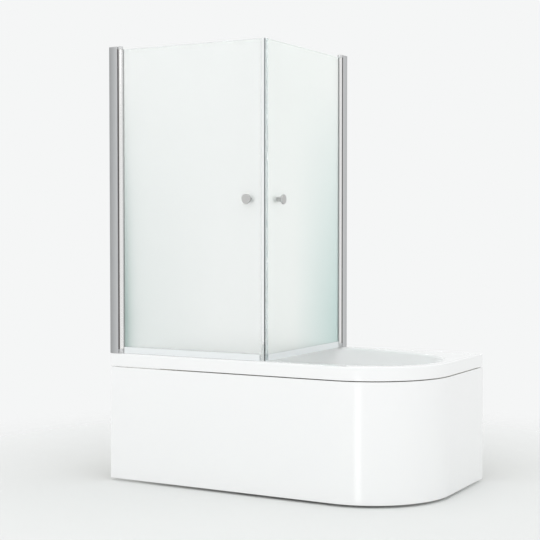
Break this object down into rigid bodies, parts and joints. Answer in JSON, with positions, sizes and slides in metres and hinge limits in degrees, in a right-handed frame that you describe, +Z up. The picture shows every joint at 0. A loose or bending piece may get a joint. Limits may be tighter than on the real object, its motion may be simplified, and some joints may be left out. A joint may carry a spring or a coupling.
{
  "type": "shower enclosure on a bath",
  "caption": "Corner shower enclosure of hinged frosted-glass doors with magnetic seals, standing on a white bath with a rounded corner, removable front panel and pop-up waste.",
  "frame": {"origin": "on the floor, under the middle of the object's bounding box", "axes": "+Z up, -Y towards the bather stepping up to the front panel, +X along the bath towards its rounded end"},
  "size_m": [1.5, 0.821, 1.975],
  "materials": {
    "white_acrylic": "gloss",
    "frosted_glass": "frosted",
    "satin_aluminium": "satin anodised",
    "bright_aluminium": "bright anodised",
    "satin_metal": "satin",
    "clear_pvc": "clear",
    "dark_rubber": "matt",
    "grey_rubber": "matt",
    "magnet_ferrite": "matt",
    "grey_plastic": "satin",
    "white_nylon": "satin",
    "white_plastic": "satin",
    "black_plastic": "satin",
    "zinc_steel": "zinc plated",
    "painted_steel": "powder coat",
    "chrome": "polished",
    "base_board": "raw board"
  },
  "bodies": {
    "bath": {"bath_shell": "white_acrylic", "base_board": "base_board", "front_rail": "painted_steel", "back_rail": "painted_steel", "cross_rails": "painted_steel", "foot_studs": "zinc_steel", "foot_nuts": "zinc_steel", "foot_pads": "black_plastic", "panel_brackets": "painted_steel", "panel_magnets": "magnet_ferrite", "waste_flange": "chrome", "waste_body": "white_plastic", "overflow_gasket": "dark_rubber", "overflow_rosette": "chrome", "overflow_body": "white_plastic", "overflow_pipe": "white_plastic", "plug_cable": "black_plastic", "left_wall_profile": "satin_aluminium", "left_profile_cap": "grey_plastic", "left_jamb_profile": "satin_aluminium", "left_jamb_seal": "dark_rubber", "left_jamb_screws": "zinc_steel", "left_pivot_blocks": "grey_plastic", "left_pivot_bushes": "white_nylon", "back_wall_profile": "satin_aluminium", "back_profile_cap": "grey_plastic", "back_jamb_profile": "satin_aluminium", "back_jamb_seal": "dark_rubber", "back_jamb_screws": "zinc_steel", "back_pivot_blocks": "grey_plastic", "back_pivot_bushes": "white_nylon"},
    "front_door": {"front_door_post": "bright_aluminium", "front_door_pivot_pins": "zinc_steel", "front_door_gasket": "grey_rubber", "front_door_glass": "frosted_glass", "front_door_drip_seal": "clear_pvc", "front_door_magnet_seal": "clear_pvc", "front_door_magnet": "magnet_ferrite", "front_door_outer_knob": "satin_metal", "front_door_inner_knob": "white_plastic", "front_door_knob_washers": "clear_pvc", "front_door_knob_stud": "zinc_steel"},
    "side_door": {"side_door_post": "bright_aluminium", "side_door_pivot_pins": "zinc_steel", "side_door_gasket": "grey_rubber", "side_door_glass": "frosted_glass", "side_door_drip_seal": "clear_pvc", "side_door_magnet_seal": "clear_pvc", "side_door_magnet": "magnet_ferrite", "side_door_outer_knob": "satin_metal", "side_door_inner_knob": "white_plastic", "side_door_knob_washers": "clear_pvc", "side_door_knob_stud": "zinc_steel"},
    "front_panel": {"front_panel": "white_acrylic", "panel_plates": "zinc_steel"},
    "overflow_knob": {"overflow_knob": "chrome"},
    "waste_plug": {"waste_plug": "chrome", "plug_seal": "dark_rubber"}
  },
  "joints": [
    {"name": "front_door_hinge", "type": "hinge", "parent": "bath", "child": "front_door", "pos_m": [-0.695, -0.3745, 1.28], "axis": [0, 0, -1], "range_deg": [0, 90]},
    {"name": "side_door_hinge", "type": "hinge", "parent": "bath", "child": "side_door", "pos_m": [0.051, 0.3555, 1.28], "axis": [0, 0, 1], "range_deg": [0, 90]},
    {"name": "front_panel_pull", "type": "slide", "parent": "bath", "child": "front_panel", "axis": [0, -1, 0], "range_m": [0, 0.25]},
    {"name": "overflow_knob_turn", "type": "hinge", "parent": "bath", "child": "overflow_knob", "pos_m": [-0.64, 0.0085, 0.48], "axis": [0.9899, 0, 0.1414], "range_deg": [0, 90]},
    {"name": "waste_plug_lift", "type": "slide", "parent": "bath", "child": "waste_plug", "axis": [0, 0, 1], "range_m": [0, 0.012]}
  ],
  "couplings": [
    {"joint": "waste_plug_lift", "follows": "overflow_knob_turn", "m_per_rad": 0.0076394}
  ]
}
